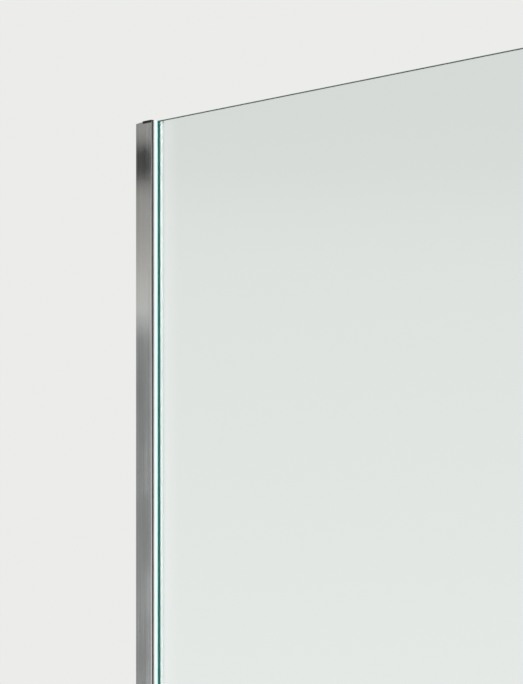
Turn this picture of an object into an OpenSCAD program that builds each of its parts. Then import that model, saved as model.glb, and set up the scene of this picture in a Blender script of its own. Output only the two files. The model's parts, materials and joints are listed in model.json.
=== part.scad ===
// Fixed glass shower screen with a telescopic wall profile and a swivelling brace bar.
// X runs out from the wall along the glass, +Y is the shower side and Z is up from the floor.
// The origin is on the back face of the wall channel, at floor level.

/* [Screen] */
// Height from the floor to the top edge of the glass
screen_h = 2000; // [1800:10:2200]
// Width from the wall to the free edge of the glass, as set
screen_w = 900; // [700:10:1200]
// Gap between the floor and the bottom edge of the glass
glass_lift = 6; // [5:0.5:9]

/* [Glass] */
// Thickness of the toughened glass
glass_t = 8; // [6:1:10]
// Width of the ground arris on every edge
arris = 0.6; // [0.4:0.1:1.2]

/* [Wall profile] */
// Depth of the glazing profile, from its back edge to its mouth
profile_depth = 24; // [23:0.5:30]
// Width of wall channel that shows between the wall and the glazing profile, as set
wall_gap = 7; // [5:0.5:8]
// Thickness of the skirts that cover the wall channel
skirt_t = 1.2; // [1:0.1:1.6]
// Thickness of the lips at the mouth
lip_t = 2.8; // [2:0.1:2.8]
// Depth of the seat behind each lip that holds the gasket's head
lip_seat = 2.7; // [2:0.1:3.2]
// Thickness of the bridges that join skirts and pocket
bridge_t = 1.5; // [1.2:0.1:2]
// Thickness of the side walls of the glass pocket
pocket_wall_t = 1.2; // [1:0.1:1.5]
// Thickness of the floor of the glass pocket
pocket_base_t = 1.5; // [1.2:0.1:1.8]
// Radius of the rounded front corners
corner_r = 0.8; // [0.6:0.1:1.6]
// Width of the fine shadow groove along each side face
groove_w = 0.5; // [0.4:0.1:1.2]
// Depth of the shadow groove
groove_d = 0.2; // [0.1:0.05:0.5]
// Distance of the shadow groove from the mouth
groove_set = 4.2; // [3:0.1:7]
// Thickness of the wall channel's legs
leg_t = 1.2; // [1:0.1:1.5]
// Thickness of the wall channel's base
base_t = 2; // [1.5:0.1:2.5]
// Sliding clearance between the nested walls
slide_gap = 0.3; // [0.2:0.05:0.4]
// End clearance when the profile is pushed fully home
home_gap = 0.4; // [0.3:0.1:0.8]

/* [Seals and packers] */
// Thickness of the gasket's tail beside the glass
tail_t = 1.8; // [1.4:0.1:2.4]
// How far the gasket's round bulb stands proud of the mouth, along the glass
bulb_out = 4.4; // [1.5:0.1:5]
// Gap between the gasket's head and the glass, behind the bulb
head_relief = 0.8; // [0.4:0.1:1.2]
// Thickness of the packers between the glass and the pocket's floor
packer_t = 1.5; // [1:0.1:1.8]
// Length of each packer
packer_len = 60; // [40:5:100]
// Wall of the seal strip under the glass
seal_t = 1.2; // [0.8:0.1:1.5]
// Height of the seal strip's legs up the faces of the glass
seal_leg = 12; // [8:1:18]
// Length of each setting block under the seal strip
block_len = 80; // [50:5:120]
// Distance of the setting blocks from the ends of the seal strip
block_inset = 110; // [60:5:160]

/* [Top cap] */
// Thickness of the cap's plate
cap_t = 0.8; // [0.8:0.1:2]
// Height of the cap's top above the top edge of the glass
cap_rise = 0.8; // [0:0.1:3]
// Overhang of the cap beyond the profile's sides
cap_overhang = 0.6; // [0.2:0.1:0.8]
// How far the cap's rim laps down over the profile's sides
cap_lap = 1.8; // [0.5:0.1:3]
// Distance of the cap from the profile's edge on the wall side
cap_set = 4; // [0:0.5:4]
// Rounding of the cap's two corners on the wall side
cap_back_r = 6; // [1:0.5:6]
// Depth of the cap's tongues into the pocket
tongue_d = 8; // [5:1:15]

/* [Wall fixings] */
// Number of wall screws
screw_count = 4; // [3:1:6]
// Distance of the end screws from the channel's ends
screw_inset = 100; // [60:5:160]
// Radius of a wall screw under its head
screw_r = 2.5; // [2:0.1:2.8]
// Radius of the threaded length in the wall
thread_r = 2.1; // [1.6:0.1:2.2]
// Length of the thread behind the wall face
thread_len = 40; // [30:1:60]
// Radius of the wall screw's head
head_r = 4.5; // [4:0.1:5]
// Height of the wall screw's head
head_h = 2.6; // [2:0.1:3]
// Thickness of the washers
washer_t = 0.8; // [0.5:0.1:1]
// How far the washers stand out beyond the heads of the wall screws
washer_out = 0.8; // [0.4:0.1:1]
// Radial clearance round a fixing in its hole
hole_gap = 0.25; // [0.2:0.05:0.4]

/* [Locking screws] */
// Number of locking screws down the shower side
lock_count = 3; // [2:1:5]
// Distance of the end locking screws from the profile's ends
lock_inset = 180; // [170:5:250]
// Radius of the locking screws
lock_r = 2; // [1.5:0.1:2]
// Radius of the locking screw's head
lock_head_r = 3.6; // [3.2:0.1:4]
// Height of the locking screw's head
lock_head_h = 2.2; // [1.6:0.1:2.8]
// Clearance of the locking screws in the slots of the wall channel
slot_gap = 0.2; // [0.1:0.05:0.3]
// Wall of the snap covers over the locking screws
cover_t = 1.2; // [0.8:0.1:1.6]

/* [Glass clamp] */
// Distance of the clamp's centre from the free edge of the glass
clamp_inset = 60; // [40:5:120]
// Width of the clamp along the glass
clamp_w = 38; // [34:1:50]
// Depth of the clamp below the top edge of the glass
clamp_drop = 30; // [26:1:40]
// Thickness of the clamp's plain jaw on the outer face
jaw_t = 6; // [5:0.5:9]
// Thickness of the clamp's screwed jaw on the shower side
screw_jaw_t = 12; // [10:0.5:16]
// Thickness of the clamp over the top of the glass
crown_t = 6; // [5:0.5:9]
// Rounding of the clamp's upright corners
clamp_corner_r = 4; // [2:0.5:5]
// Thickness of the rubber liner in the clamp
liner_t = 1.5; // [1:0.1:2]
// Thickness of the pressure plate
plate_t = 2; // [1.5:0.1:3]
// Radius of the clamp's grub screws
grub_r = 3; // [2.5:0.1:3]
// Distance of the clamp's grub screws below the top edge of the glass
grub_drop = 18; // [15:1:20]
// Distance between the clamp's grub screws
grub_pitch = 20; // [17:0.5:22]

/* [Brace] */
// Distance from the middle of the glass to the wall that the brace reaches
brace_reach = 1000; // [600:10:1300]
// Outside diameter of the brace tube
tube_d = 19; // [18:0.5:20]
// Wall of the brace tube
tube_wall = 1.2; // [1:0.1:1.5]
// Radius of the eye at each end of the brace
eye_r = 9; // [8:0.5:9.5]
// Thickness of the eye
eye_t = 12; // [10:0.5:13]
// Radius of the pivot pins
pin_r = 3; // [2.5:0.1:3.5]
// Running clearance of the pins in their bores
pin_gap = 0.05; // [0.02:0.01:0.1]
// Thickness of the forks' ears
ear_t = 4; // [3:0.5:5]
// Thickness of the swivel washers
swivel_t = 1; // [0.6:0.1:1.4]
// Distance from a pivot to the shoulder that meets the tube
shoulder = 16; // [15:0.5:20]
// Depth of the plug inside the tube
plug_len = 24; // [18:1:32]
// Radius of the grub screws that hold the tube
tube_grub_r = 2.5; // [2:0.1:2.8]
// Clearance between the eye and what it turns in front of
turn_gap = 2; // [1.5:0.1:3]
// Radius of the brace's wall flange
flange_r = 30; // [28:1:40]
// Thickness of the flange
flange_t = 6; // [5:0.5:9]
// Radius of the circle of flange screws
flange_pitch_r = 21; // [21:0.5:24]
// Number of flange screws
flange_screws_n = 3; // [3:1:4]
// Radius of the flange screws in the flange
flange_screw_r = 2.4; // [2.2:0.1:2.5]
// Radius of the flange screws' threads
flange_thread_r = 2; // [1.6:0.1:2]
// Radius of the flange screws' countersunk heads
flange_head_r = 4; // [3.8:0.1:4.4]

/* [Hidden] */

$fn = 48;
// A small overshoot that lets a cut run clean through a face
eps = 0.5;
// Clearance between flat parts that slide or press together
fit = 0.1;
// Shape of the screws: straight rim and crown of a pan head, as shares of its height and radius
pan_rim = 0.45;
pan_crown = 0.55;
// Length of a screw's point and the radius that it ends in
point_len = 4;
point_r = 0.2;
// Width of a cross recess's arms, as a share of their length, and the share of a head that is left under it
cross_w = 0.4;
cross_floor = 0.45;
// Cup point, chamfer and socket of a grub screw, as shares of its radius, and where the socket starts
cup_r = 0.6;
cup_h = 0.4;
socket_r = 0.55;
socket_floor = 0.55;
// Height and overhang of the heads on the pivot pins, and how far they taper
pin_head_h = 1.6;
pin_head_out = 1.6;
pin_head_taper = 0.7;
// Thickness of the collar where an eye fitting meets the tube, and the neck that carries it
collar_t = 3;
neck_w = 11;
neck_h = 10;
// Chamfers of the snap covers and of the flange
cover_edge = 0.6;
flange_edge = 1;
// Distance of the seal strip from the gaskets
seal_gap = 1;
// Setbacks of the liner and of the pressure plate from the clamp's sides
liner_set = 1;
plate_set = 2;
// How far the clamp's and the tube's grub screws lie below the surfaces round them
grub_sunk = 1;
tube_grub_sunk = 0.5;
// Difference between the radii of an eye and a swivel washer
washer_set = 0.5;
// Depth of the fork's top face below the top edge of the glass
fork_set = 1;
// Heights of the two packers, as shares of the screen's height
packer_places = [0.2, 0.8];

// Half thickness of the glass, the plane of each glass face
glass_y = glass_t / 2;
// Nested walls of the profile, from the glass outwards
pocket_y0 = glass_y + tail_t;
pocket_y1 = pocket_y0 + pocket_wall_t;
leg_y0 = pocket_y1 + slide_gap;
leg_y1 = leg_y0 + leg_t;
skirt_y0 = leg_y1 + slide_gap;
skirt_y1 = skirt_y0 + skirt_t;
lip_y0 = skirt_y1 - lip_t;
// Stations along X, from the wall outwards
mouth_x = wall_gap + profile_depth;
bridge_x1 = mouth_x - lip_seat;
bridge_x0 = bridge_x1 - bridge_t;
leg_x = bridge_x0 - wall_gap - home_gap;
pocket_x0 = base_t + washer_t + head_h + wall_gap + home_gap;
pocket_x1 = pocket_x0 + pocket_base_t;
glass_x0 = pocket_x1 + packer_t;
groove_x = mouth_x - groove_set;
// Heights
profile_top = screen_h + cap_rise - cap_t;
channel_top = profile_top - fit;
block_h = glass_lift - seal_t;
// The locking screws bite into the pocket's side wall, and open slots in the channel's leg let them travel
slot_r = lock_r + slot_gap;
lock_x = pocket_x0 + slot_r;
lock_hole_r = lock_r + fit / 2;
cover_r = lock_head_r + cover_t + fit;
cover_h = lock_head_h + cover_t + fit;
// The clamp
clamp_x = screen_w - clamp_inset;
clamp_slot_y0 = -glass_y - liner_t;
clamp_slot_y1 = glass_y + liner_t + plate_t;
clamp_y0 = clamp_slot_y0 - jaw_t;
clamp_y1 = clamp_slot_y1 + screw_jaw_t;
clamp_z0 = screen_h - clamp_drop;
clamp_z1 = screen_h + liner_t + crown_t;
grub_z = screen_h - grub_drop;
// The swivel joints of the brace
pivot_y = clamp_y1 + eye_r + turn_gap;
pivot_z = screen_h - fork_set - ear_t - swivel_t - eye_t / 2;
wall_pivot_y = brace_reach - flange_t - eye_r - turn_gap;
fork_z0 = eye_t / 2 + swivel_t + fit;
fork_z1 = fork_z0 + ear_t;
pin_head_r = pin_r + pin_head_out;
plug_r = tube_d / 2 - tube_wall - fit;
tube_grub_y = shoulder + plug_len / 2;
seal_x0 = mouth_x + bulb_out + seal_gap;
flange_head_h = flange_head_r - flange_screw_r;

function z_of(i, count, inset) = inset + i * (screen_h - 2 * inset) / (count - 1);

// A bar of glass or block with the same 45 degree arris on all its edges, from corner a to corner b
module arrised(a, b, c) {
  size = b - a;
  translate(a)
    intersection() {
      linear_extrude(size[2])
        polygon(cut_corners(size[0], size[1], c));
      translate([size[0], 0, 0])
        rotate([0, -90, 0])
          linear_extrude(size[0])
            polygon(cut_corners(size[2], size[1], c));
      translate([0, size[1], 0])
        rotate([90, 0, 0])
          linear_extrude(size[1])
            polygon(cut_corners(size[0], size[2], c));
    }
}

function cut_corners(w, h, c) = [
  [c, 0], [w - c, 0], [w, c], [w, h - c], [w - c, h], [c, h], [0, h - c], [0, c]
];

// Rectangle from [x0, y0] to [x1, y1]
module span(x0, y0, x1, y1) {
  translate([x0, y0])
    square([x1 - x0, y1 - y0]);
}

// Both halves of a section that is the same on each side of the glass
module both_sides() {
  children();
  mirror([0, 1])
    children();
}

// What a rounded corner of radius r loses, with the corner at the origin and the body at -X -Y
module corner_loss(r) {
  difference() {
    translate([-r, -r])
      square(r + eps);
    translate([-r, -r])
      circle(r, $fn = 48);
  }
}

// Pan head screw along +Z: head above the origin, smooth neck, then a thread with a cone point
module pan_screw(neck_r, neck_len, core_r, core_len, top_r, top_h) {
  difference() {
    union() {
      cylinder(r = top_r, h = top_h * pan_rim);
      translate([0, 0, top_h * pan_rim])
        cylinder(r1 = top_r, r2 = top_r * pan_crown, h = top_h * (1 - pan_rim));
      translate([0, 0, -neck_len])
        cylinder(r = neck_r, h = neck_len);
      if (core_len > 0) {
        translate([0, 0, -neck_len])
          mirror([0, 0, 1])
            screw_core(core_r, core_len);
      }
    }
    cross_recess(top_r / 2, top_h);
  }
}

// Threaded length of a screw along +Z from its start at the origin to its point
module screw_core(r, len) {
  cylinder(r = r, h = len - point_len);
  translate([0, 0, len - point_len])
    cylinder(r1 = r, r2 = point_r, h = point_len);
}

// Cross recess cut into the top of a head of height h, with arms of length arm
module cross_recess(arm, h) {
  for (a = [0, 90])
    rotate([0, 0, a])
      translate([-arm, -arm * cross_w / 2, h * cross_floor])
        cube([arm * 2, arm * cross_w, h]);
}

// Grub screw along +Z from its cup point at the origin, with a hexagon socket in its back
module grub_screw(r, len) {
  difference() {
    union() {
      cylinder(r1 = r * cup_r, r2 = r, h = r * cup_h);
      translate([0, 0, r * cup_h])
        cylinder(r = r, h = len - r * cup_h);
    }
    translate([0, 0, len * socket_floor])
      cylinder(r = r * socket_r, h = len, $fn = 6);
  }
}

// Pivot pin along Z, centred, with a low head at each end
module pivot_pin() {
  cylinder(r = pin_r, h = 2 * fork_z1, center = true);
  for (s = [0, 1])
    mirror([0, 0, s])
      translate([0, 0, fork_z1]) {
        cylinder(r = pin_head_r, h = pin_head_h / 2);
        translate([0, 0, pin_head_h / 2])
          cylinder(r1 = pin_head_r, r2 = pin_head_r * pin_head_taper, h = pin_head_h / 2);
      }
}

// Two ears round a pivot at the origin, reaching back along -Y to the face at back_y
module fork(back_y) {
  for (s = [0, 1])
    mirror([0, 0, s])
      translate([0, 0, fork_z0])
        difference() {
          linear_extrude(ear_t) {
            circle(eye_r);
            span(-eye_r, back_y, eye_r, 0);
          }
          translate([0, 0, -eps])
            cylinder(r = pin_r + pin_gap, h = ear_t + 2 * eps);
        }
}

// End fitting of the brace: eye at the origin, neck, shoulder and plug along +Y
module eye_fitting() {
  difference() {
    union() {
      cylinder(r = eye_r, h = eye_t, center = true);
      translate([-neck_w / 2, 0, -neck_h / 2])
        cube([neck_w, shoulder, neck_h]);
      translate([0, shoulder, 0])
        rotate([90, 0, 0])
          cylinder(r = tube_d / 2, h = collar_t);
      translate([0, shoulder + plug_len, 0])
        rotate([90, 0, 0])
          cylinder(r = plug_r, h = plug_len);
    }
    cylinder(r = pin_r + pin_gap, h = eye_t + 2 * eps, center = true);
    translate([0, tube_grub_y, -plug_r - eps])
      cylinder(r = tube_grub_r + pin_gap, h = plug_r + eps);
  }
}

module wall_channel() {
  color("silver")
    difference() {
      linear_extrude(channel_top)
        difference() {
          span(0, -leg_y1, leg_x, leg_y1);
          span(base_t, -leg_y0, leg_x + eps, leg_y0);
        }
      for (i = [0 : screw_count - 1])
        translate([-eps, 0, z_of(i, screw_count, screw_inset)])
          rotate([0, 90, 0])
            cylinder(r = screw_r + hole_gap, h = base_t + 2 * eps);
      for (i = [0 : lock_count - 1])
        translate([0, leg_y0 - eps, z_of(i, lock_count, lock_inset)])
          lock_slot();
    }
}

// Slot cut along +Y that a locking screw travels along as the profile slides home, open at the leg's tip
module lock_slot() {
  x0 = lock_x - wall_gap;
  depth = leg_t + 2 * eps;
  translate([x0, depth, 0])
    rotate([90, 0, 0])
      cylinder(r = slot_r, h = depth);
  translate([x0, 0, -slot_r])
    cube([leg_x - x0 + eps, depth, 2 * slot_r]);
}

module wall_screws() {
  color("gainsboro")
    for (i = [0 : screw_count - 1])
      translate([base_t + washer_t, 0, z_of(i, screw_count, screw_inset)])
        rotate([0, 90, 0])
          pan_screw(screw_r, base_t + washer_t, thread_r, thread_len, head_r, head_h);
}

module wall_washers() {
  color("lightgray")
    for (i = [0 : screw_count - 1])
      translate([base_t, 0, z_of(i, screw_count, screw_inset)])
        rotate([0, 90, 0])
          difference() {
            cylinder(r = head_r + washer_out, h = washer_t);
            translate([0, 0, -eps])
              cylinder(r = screw_r + hole_gap, h = washer_t + 2 * eps);
          }
}

module glazing_section() {
  difference() {
    both_sides() {
      span(wall_gap, skirt_y0, mouth_x, skirt_y1);
      span(bridge_x1, lip_y0, mouth_x, skirt_y1);
      span(bridge_x0, pocket_y0, bridge_x1, skirt_y1);
      span(pocket_x0, pocket_y0, bridge_x1, pocket_y1);
      span(pocket_x0, 0, pocket_x1, pocket_y1);
    }
    both_sides() {
      translate([mouth_x, skirt_y1])
        corner_loss(corner_r);
      span(groove_x - groove_w / 2, skirt_y1 - groove_d, groove_x + groove_w / 2, skirt_y1 + eps);
    }
  }
}

module glazing_profile() {
  color("darkgray")
    difference() {
      linear_extrude(profile_top)
        glazing_section();
      for (i = [0 : lock_count - 1])
        translate([lock_x, skirt_y1 + eps, z_of(i, lock_count, lock_inset)])
          rotate([90, 0, 0])
            cylinder(r = lock_hole_r, h = skirt_y1 - pocket_y0 + 2 * eps);
    }
}

module glass_panel() {
  color("honeydew", 0.35)
    arrised([glass_x0, -glass_y, glass_lift], [screen_w, glass_y, screen_h], arris);
}

// Head behind the lip, round bulb at the mouth and thin tail beside the glass, on the +Y side
module gasket() {
  head_x = bridge_x1 + fit;
  bulb_r = (lip_y0 - glass_y - fit) / 2;
  bulb_x = mouth_x + bulb_out - bulb_r;
  linear_extrude(screen_h) {
    span(head_x, glass_y + head_relief, bulb_x, lip_y0);
    translate([bulb_x, lip_y0 - bulb_r])
      circle(bulb_r);
  }
  linear_extrude(profile_top - tongue_d - fit)
    span(glass_x0, glass_y, head_x, pocket_y0);
}

module outer_gasket() {
  color("whitesmoke")
    mirror([0, 1, 0])
      gasket();
}

module inner_gasket() {
  color("whitesmoke")
    gasket();
}

module glass_packers() {
  color("white")
    for (place = packer_places)
      translate([pocket_x1, -glass_y, screen_h * place - packer_len / 2])
        cube([packer_t, glass_t, packer_len]);
}

module cap_outline() {
  side_y = skirt_y1 + cap_overhang;
  back_x = wall_gap + cap_set;
  difference() {
    span(back_x, -side_y, mouth_x, side_y);
    both_sides() {
      translate([mouth_x, side_y])
        corner_loss(corner_r);
      translate([back_x, side_y])
        mirror([1, 0])
          corner_loss(cap_back_r);
    }
  }
}

module top_cap() {
  slot_y = glass_y + fit;
  rim_y = skirt_y1 + fit / 2;
  color("dimgray") {
    translate([0, 0, profile_top])
      linear_extrude(cap_t)
        difference() {
          cap_outline();
          span(glass_x0 - fit, -slot_y, mouth_x + eps, slot_y);
          span(bridge_x1 + fit / 2, -lip_y0 - fit, mouth_x + eps, lip_y0 + fit);
        }
    translate([0, 0, profile_top - cap_lap])
      linear_extrude(cap_lap + cap_t)
        difference() {
          cap_outline();
          span(wall_gap - eps, -rim_y, mouth_x + eps, rim_y);
        }
    translate([0, 0, profile_top - tongue_d])
      linear_extrude(tongue_d)
        both_sides()
          span(glass_x0, slot_y, bridge_x1, pocket_y0);
  }
}

module locking_screws() {
  color("gainsboro")
    for (i = [0 : lock_count - 1])
      translate([lock_x, skirt_y1, z_of(i, lock_count, lock_inset)])
        rotate([-90, 0, 0])
          pan_screw(lock_r, skirt_y1 - pocket_y0 - fit, lock_r, 0, lock_head_r, lock_head_h);
}

module locking_screw_covers() {
  color("silver")
    for (i = [0 : lock_count - 1])
      translate([lock_x, skirt_y1, z_of(i, lock_count, lock_inset)])
        rotate([-90, 0, 0])
          difference() {
            union() {
              cylinder(r = cover_r, h = cover_h - cover_edge);
              translate([0, 0, cover_h - cover_edge])
                cylinder(r1 = cover_r, r2 = cover_r - cover_edge, h = cover_edge);
            }
            translate([0, 0, -eps])
              cylinder(r = lock_head_r + fit, h = lock_head_h + fit + eps);
          }
}

module floor_seal() {
  seal_y = glass_y + seal_t;
  color("white", 0.6)
    translate([seal_x0, 0, 0])
      rotate([90, 0, 90])
        linear_extrude(screen_w - seal_x0) {
          both_sides_x() {
            span(glass_y, 0, seal_y, glass_lift + seal_leg);
            span(0, block_h, seal_y, glass_lift);
          }
        }
}

// Both halves of a section that is the same on each side of the line X = 0
module both_sides_x() {
  children();
  mirror([1, 0])
    children();
}

module setting_blocks() {
  color("gray")
    for (x = [seal_x0 + block_inset, screen_w - block_inset - block_len])
      translate([x, fit - glass_y, 0])
        cube([block_len, glass_t - 2 * fit, block_h]);
}

module clamp_outline() {
  x0 = clamp_x - clamp_w / 2;
  difference() {
    span(x0, clamp_y0, x0 + clamp_w, clamp_y1);
    for (sx = [0, 1], sy = [0, 1])
      translate([clamp_x, 0])
        mirror([sx, 0])
          translate([clamp_w / 2, sy == 0 ? clamp_y0 : clamp_y1])
            mirror([0, 1 - sy])
              corner_loss(clamp_corner_r);
  }
}

module glass_clamp() {
  color("silver")
    difference() {
      union() {
        translate([0, 0, clamp_z0])
          linear_extrude(clamp_z1 - clamp_z0)
            clamp_outline();
        translate([clamp_x, pivot_y, pivot_z])
          fork(clamp_y1 - pivot_y - eps);
      }
      translate([clamp_x - clamp_w, clamp_slot_y0, clamp_z0 - eps])
        cube([2 * clamp_w, clamp_slot_y1 - clamp_slot_y0, screen_h + liner_t - clamp_z0 + eps]);
      for (s = [-1, 1])
        translate([clamp_x + s * grub_pitch / 2, clamp_y1 + eps, grub_z])
          rotate([90, 0, 0])
            cylinder(r = grub_r + pin_gap, h = screw_jaw_t + 2 * eps);
    }
}

module clamp_liner() {
  color("dimgray")
    translate([clamp_x - clamp_w / 2 + liner_set, 0, 0])
      rotate([90, 0, 90])
        linear_extrude(clamp_w - 2 * liner_set)
          difference() {
            span(-glass_y - liner_t, clamp_z0 + liner_set, glass_y + liner_t, screen_h + liner_t);
            span(-glass_y, clamp_z0 - eps, glass_y, screen_h);
          }
}

module pressure_plate() {
  color("lightgray")
    translate([clamp_x - clamp_w / 2 + plate_set, glass_y + liner_t, clamp_z0 + plate_set])
      cube([clamp_w - 2 * plate_set, plate_t, clamp_drop - 2 * plate_set]);
}

module clamp_grub_screws() {
  color("gray")
    for (s = [-1, 1])
      translate([clamp_x + s * grub_pitch / 2, clamp_slot_y1, grub_z])
        rotate([-90, 0, 0])
          grub_screw(grub_r, screw_jaw_t - grub_sunk);
}

module clamp_pin() {
  color("gainsboro")
    translate([clamp_x, pivot_y, pivot_z])
      pivot_pin();
}

module brace_tube() {
  len = wall_pivot_y - pivot_y - 2 * shoulder;
  color("silver")
    difference() {
      translate([clamp_x, pivot_y + shoulder + len, pivot_z])
        rotate([90, 0, 0])
          difference() {
            cylinder(r = tube_d / 2, h = len);
            translate([0, 0, -eps])
              cylinder(r = tube_d / 2 - tube_wall, h = len + 2 * eps);
          }
      for (y = [pivot_y + tube_grub_y, wall_pivot_y - tube_grub_y])
        translate([clamp_x, y, pivot_z - tube_d])
          cylinder(r = tube_grub_r + hole_gap, h = tube_d);
    }
}

module clamp_end_eye() {
  color("silver")
    translate([clamp_x, pivot_y, pivot_z])
      eye_fitting();
}

module flange_end_eye() {
  color("silver")
    translate([clamp_x, wall_pivot_y, pivot_z])
      mirror([0, 1, 0])
        eye_fitting();
}

module tube_grub_screws() {
  color("gray")
    for (y = [pivot_y + tube_grub_y, wall_pivot_y - tube_grub_y])
      translate([clamp_x, y, pivot_z])
        rotate([180, 0, 0])
          grub_screw(tube_grub_r, tube_d / 2 - tube_grub_sunk);
}

module swivel_washers() {
  color("white")
    for (y = [pivot_y, wall_pivot_y], s = [0, 1])
      translate([clamp_x, y, pivot_z])
        mirror([0, 0, s])
          translate([0, 0, eye_t / 2])
            difference() {
              cylinder(r = eye_r - washer_set, h = swivel_t);
              translate([0, 0, -eps])
                cylinder(r = pin_r + hole_gap, h = swivel_t + 2 * eps);
            }
}

module at_flange_screws() {
  for (i = [0 : flange_screws_n - 1])
    rotate([0, i * 360 / flange_screws_n, 0])
      translate([0, 0, flange_pitch_r])
        children();
}

module wall_flange() {
  sink_h = flange_head_h + hole_gap;
  sink_r = flange_screw_r + hole_gap;
  color("silver")
    difference() {
      union() {
        translate([clamp_x, brace_reach, pivot_z])
          rotate([90, 0, 0]) {
            cylinder(r = flange_r, h = flange_t - flange_edge);
            translate([0, 0, flange_t - flange_edge])
              cylinder(r1 = flange_r, r2 = flange_r - flange_edge, h = flange_edge);
          }
        translate([clamp_x, wall_pivot_y, pivot_z])
          mirror([0, 1, 0])
            fork(-eye_r - turn_gap - eps);
      }
      translate([clamp_x, brace_reach, pivot_z])
        at_flange_screws()
          rotate([90, 0, 0]) {
            translate([0, 0, -eps])
              cylinder(r = flange_screw_r + hole_gap, h = flange_t + 2 * eps);
            translate([0, 0, flange_t - sink_h])
              cylinder(r1 = sink_r, r2 = sink_r + sink_h + eps, h = sink_h + eps);
          }
    }
}

module flange_pin() {
  color("gainsboro")
    translate([clamp_x, wall_pivot_y, pivot_z])
      pivot_pin();
}

module flange_screws() {
  color("gainsboro")
    translate([clamp_x, brace_reach, pivot_z])
      at_flange_screws()
        rotate([90, 0, 0])
          difference() {
            union() {
              translate([0, 0, flange_t - flange_head_h])
                cylinder(r1 = flange_screw_r, r2 = flange_head_r, h = flange_head_h);
              cylinder(r = flange_screw_r, h = flange_t - flange_head_h);
              mirror([0, 0, 1])
                screw_core(flange_thread_r, thread_len);
            }
            translate([0, 0, flange_t - flange_head_h])
              cross_recess(flange_head_r / 2, flange_head_h);
          }
}

wall_channel();
wall_screws();
wall_washers();
glazing_profile();
glass_panel();
outer_gasket();
inner_gasket();
glass_packers();
top_cap();
locking_screws();
locking_screw_covers();
floor_seal();
setting_blocks();
glass_clamp();
clamp_liner();
pressure_plate();
clamp_grub_screws();
clamp_pin();
brace_tube();
clamp_end_eye();
flange_end_eye();
tube_grub_screws();
swivel_washers();
wall_flange();
flange_pin();
flange_screws();
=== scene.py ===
"""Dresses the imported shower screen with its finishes, softened edges, screw threads, studio and camera.

All lengths are in metres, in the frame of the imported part: X runs from the wall along the glass,
+Y is the shower side and Z is up from the floor.
"""

import json
import logging
import math
from dataclasses import dataclass
from enum import Enum

import bmesh
import bpy
from mathutils import Euler, Matrix, Vector


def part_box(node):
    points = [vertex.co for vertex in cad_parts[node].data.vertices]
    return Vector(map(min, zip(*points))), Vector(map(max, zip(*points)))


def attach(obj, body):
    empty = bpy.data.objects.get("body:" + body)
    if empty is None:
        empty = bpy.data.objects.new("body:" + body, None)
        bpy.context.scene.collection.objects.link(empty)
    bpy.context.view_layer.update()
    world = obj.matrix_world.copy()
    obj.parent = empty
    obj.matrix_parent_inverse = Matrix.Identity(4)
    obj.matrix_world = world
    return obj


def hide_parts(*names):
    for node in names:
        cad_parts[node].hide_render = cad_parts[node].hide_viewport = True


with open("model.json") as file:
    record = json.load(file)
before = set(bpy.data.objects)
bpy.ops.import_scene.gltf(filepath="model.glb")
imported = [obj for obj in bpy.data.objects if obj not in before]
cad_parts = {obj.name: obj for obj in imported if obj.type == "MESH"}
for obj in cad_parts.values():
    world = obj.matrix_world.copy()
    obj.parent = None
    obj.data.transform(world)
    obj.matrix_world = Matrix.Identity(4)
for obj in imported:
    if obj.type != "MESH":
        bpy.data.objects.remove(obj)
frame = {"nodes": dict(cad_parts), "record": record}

LOG = logging.getLogger("shower_screen")
MM = 0.001
MERGE_GAP = 0.002 * MM

Colour = tuple[float, float, float]
Triple = tuple[float, float, float]
Range = tuple[float, float]
Spot = tuple[float, float]
Stops = tuple[tuple[float, float], ...]
Node = bpy.types.Node
Socket = bpy.types.NodeSocket
Feed = Socket | float | int | Triple

RISING: Range = (0.0, 1.0)
FALLING: Range = (1.0, 0.0)
# Spans of noise that are stretched over a whole range: the narrower one gives harder blotches
NOISE_CORE: Range = (0.35, 0.65)
NOISE_BODY: Range = (0.3, 0.7)


class Body(str, Enum):
    """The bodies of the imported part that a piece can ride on."""

    WALL_SIDE = "wall_side"
    PANEL = "panel"
    BRACE = "brace"
    FLANGE = "flange"


class Slot(str, Enum):
    """The record's material slots."""

    ALUMINIUM = "bright_aluminium"
    CHROME = "chrome_plate"
    STEEL = "stainless_steel"
    GLASS = "clear_glass"
    GASKET = "pale_gasket"
    CLEAR_PLASTIC = "clear_plastic"
    GREY_PLASTIC = "grey_plastic"
    DARK_PLASTIC = "dark_plastic"
    RUBBER = "black_rubber"
    NYLON = "white_nylon"


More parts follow.
